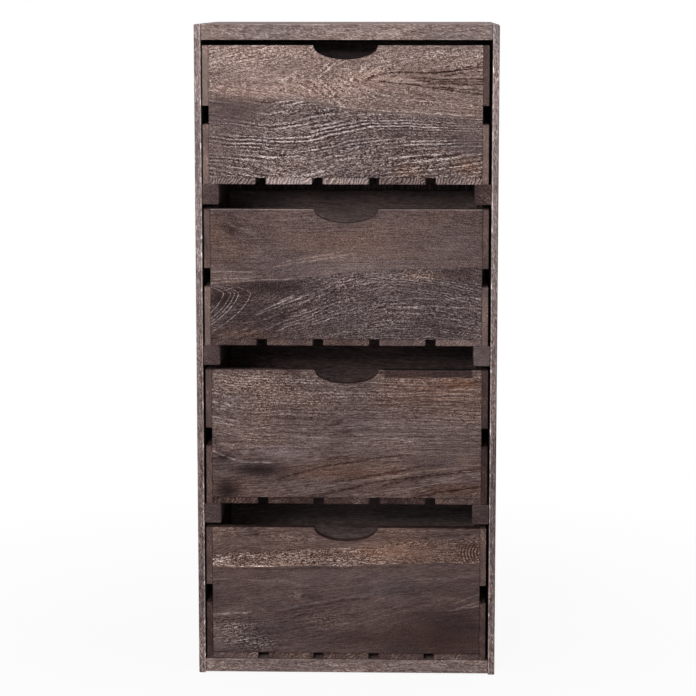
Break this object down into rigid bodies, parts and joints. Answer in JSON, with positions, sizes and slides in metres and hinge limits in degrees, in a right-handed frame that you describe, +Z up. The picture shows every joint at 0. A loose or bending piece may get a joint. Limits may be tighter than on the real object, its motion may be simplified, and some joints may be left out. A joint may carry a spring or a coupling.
{
  "type": "chest of drawers",
  "caption": "Narrow upright crate-style wooden chest with a thin-walled case and slatted, open-topped drawers that slide on side runners and pull by a half-round finger cut-out.",
  "frame": {"origin": "on the floor, under the middle of the case", "axes": "+X to the chest's right as seen from the front, +Y to the back, +Z up; drawers open towards -Y"},
  "size_m": [0.3, 0.26, 0.6543],
  "materials": {
    "case_wood": "weathered grey-brown wood, wire-brushed, with pale worn edges",
    "drawer_wood": "torched dark grey-brown wood with pale open grain, matt",
    "nail_steel": "dull dark steel nail"
  },
  "bodies": {
    "case": {"left_side_panel": "case_wood", "right_side_panel": "case_wood", "top_panel": "case_wood", "bottom_panel": "case_wood", "back_panel": "case_wood", "left_runner_1": "case_wood", "right_runner_1": "case_wood", "left_runner_2": "case_wood", "right_runner_2": "case_wood", "left_runner_3": "case_wood", "right_runner_3": "case_wood", "case_nails": "nail_steel"},
    "drawer_1": {"drawer_1_front": "drawer_wood", "drawer_1_back": "drawer_wood", "drawer_1_left_upper_slat": "drawer_wood", "drawer_1_left_lower_slat": "drawer_wood", "drawer_1_right_upper_slat": "drawer_wood", "drawer_1_right_lower_slat": "drawer_wood", "drawer_1_bottom_slat_1": "drawer_wood", "drawer_1_bottom_slat_2": "drawer_wood", "drawer_1_bottom_slat_3": "drawer_wood", "drawer_1_bottom_slat_4": "drawer_wood", "drawer_1_bottom_slat_5": "drawer_wood", "drawer_1_nails": "nail_steel"},
    "drawer_2": {"drawer_2_front": "drawer_wood", "drawer_2_back": "drawer_wood", "drawer_2_left_upper_slat": "drawer_wood", "drawer_2_left_lower_slat": "drawer_wood", "drawer_2_right_upper_slat": "drawer_wood", "drawer_2_right_lower_slat": "drawer_wood", "drawer_2_bottom_slat_1": "drawer_wood", "drawer_2_bottom_slat_2": "drawer_wood", "drawer_2_bottom_slat_3": "drawer_wood", "drawer_2_bottom_slat_4": "drawer_wood", "drawer_2_bottom_slat_5": "drawer_wood", "drawer_2_nails": "nail_steel"},
    "drawer_3": {"drawer_3_front": "drawer_wood", "drawer_3_back": "drawer_wood", "drawer_3_left_upper_slat": "drawer_wood", "drawer_3_left_lower_slat": "drawer_wood", "drawer_3_right_upper_slat": "drawer_wood", "drawer_3_right_lower_slat": "drawer_wood", "drawer_3_bottom_slat_1": "drawer_wood", "drawer_3_bottom_slat_2": "drawer_wood", "drawer_3_bottom_slat_3": "drawer_wood", "drawer_3_bottom_slat_4": "drawer_wood", "drawer_3_bottom_slat_5": "drawer_wood", "drawer_3_nails": "nail_steel"},
    "drawer_4": {"drawer_4_front": "drawer_wood", "drawer_4_back": "drawer_wood", "drawer_4_left_upper_slat": "drawer_wood", "drawer_4_left_lower_slat": "drawer_wood", "drawer_4_right_upper_slat": "drawer_wood", "drawer_4_right_lower_slat": "drawer_wood", "drawer_4_bottom_slat_1": "drawer_wood", "drawer_4_bottom_slat_2": "drawer_wood", "drawer_4_bottom_slat_3": "drawer_wood", "drawer_4_bottom_slat_4": "drawer_wood", "drawer_4_bottom_slat_5": "drawer_wood", "drawer_4_nails": "nail_steel"}
  },
  "joints": [
    {"name": "drawer_1_slide", "type": "slide", "parent": "case", "child": "drawer_1", "axis": [0, -1, 0], "range_m": [0, 0.2]},
    {"name": "drawer_2_slide", "type": "slide", "parent": "case", "child": "drawer_2", "axis": [0, -1, 0], "range_m": [0, 0.2]},
    {"name": "drawer_3_slide", "type": "slide", "parent": "case", "child": "drawer_3", "axis": [0, -1, 0], "range_m": [0, 0.2]},
    {"name": "drawer_4_slide", "type": "slide", "parent": "case", "child": "drawer_4", "axis": [0, -1, 0], "range_m": [0, 0.2]}
  ]
}
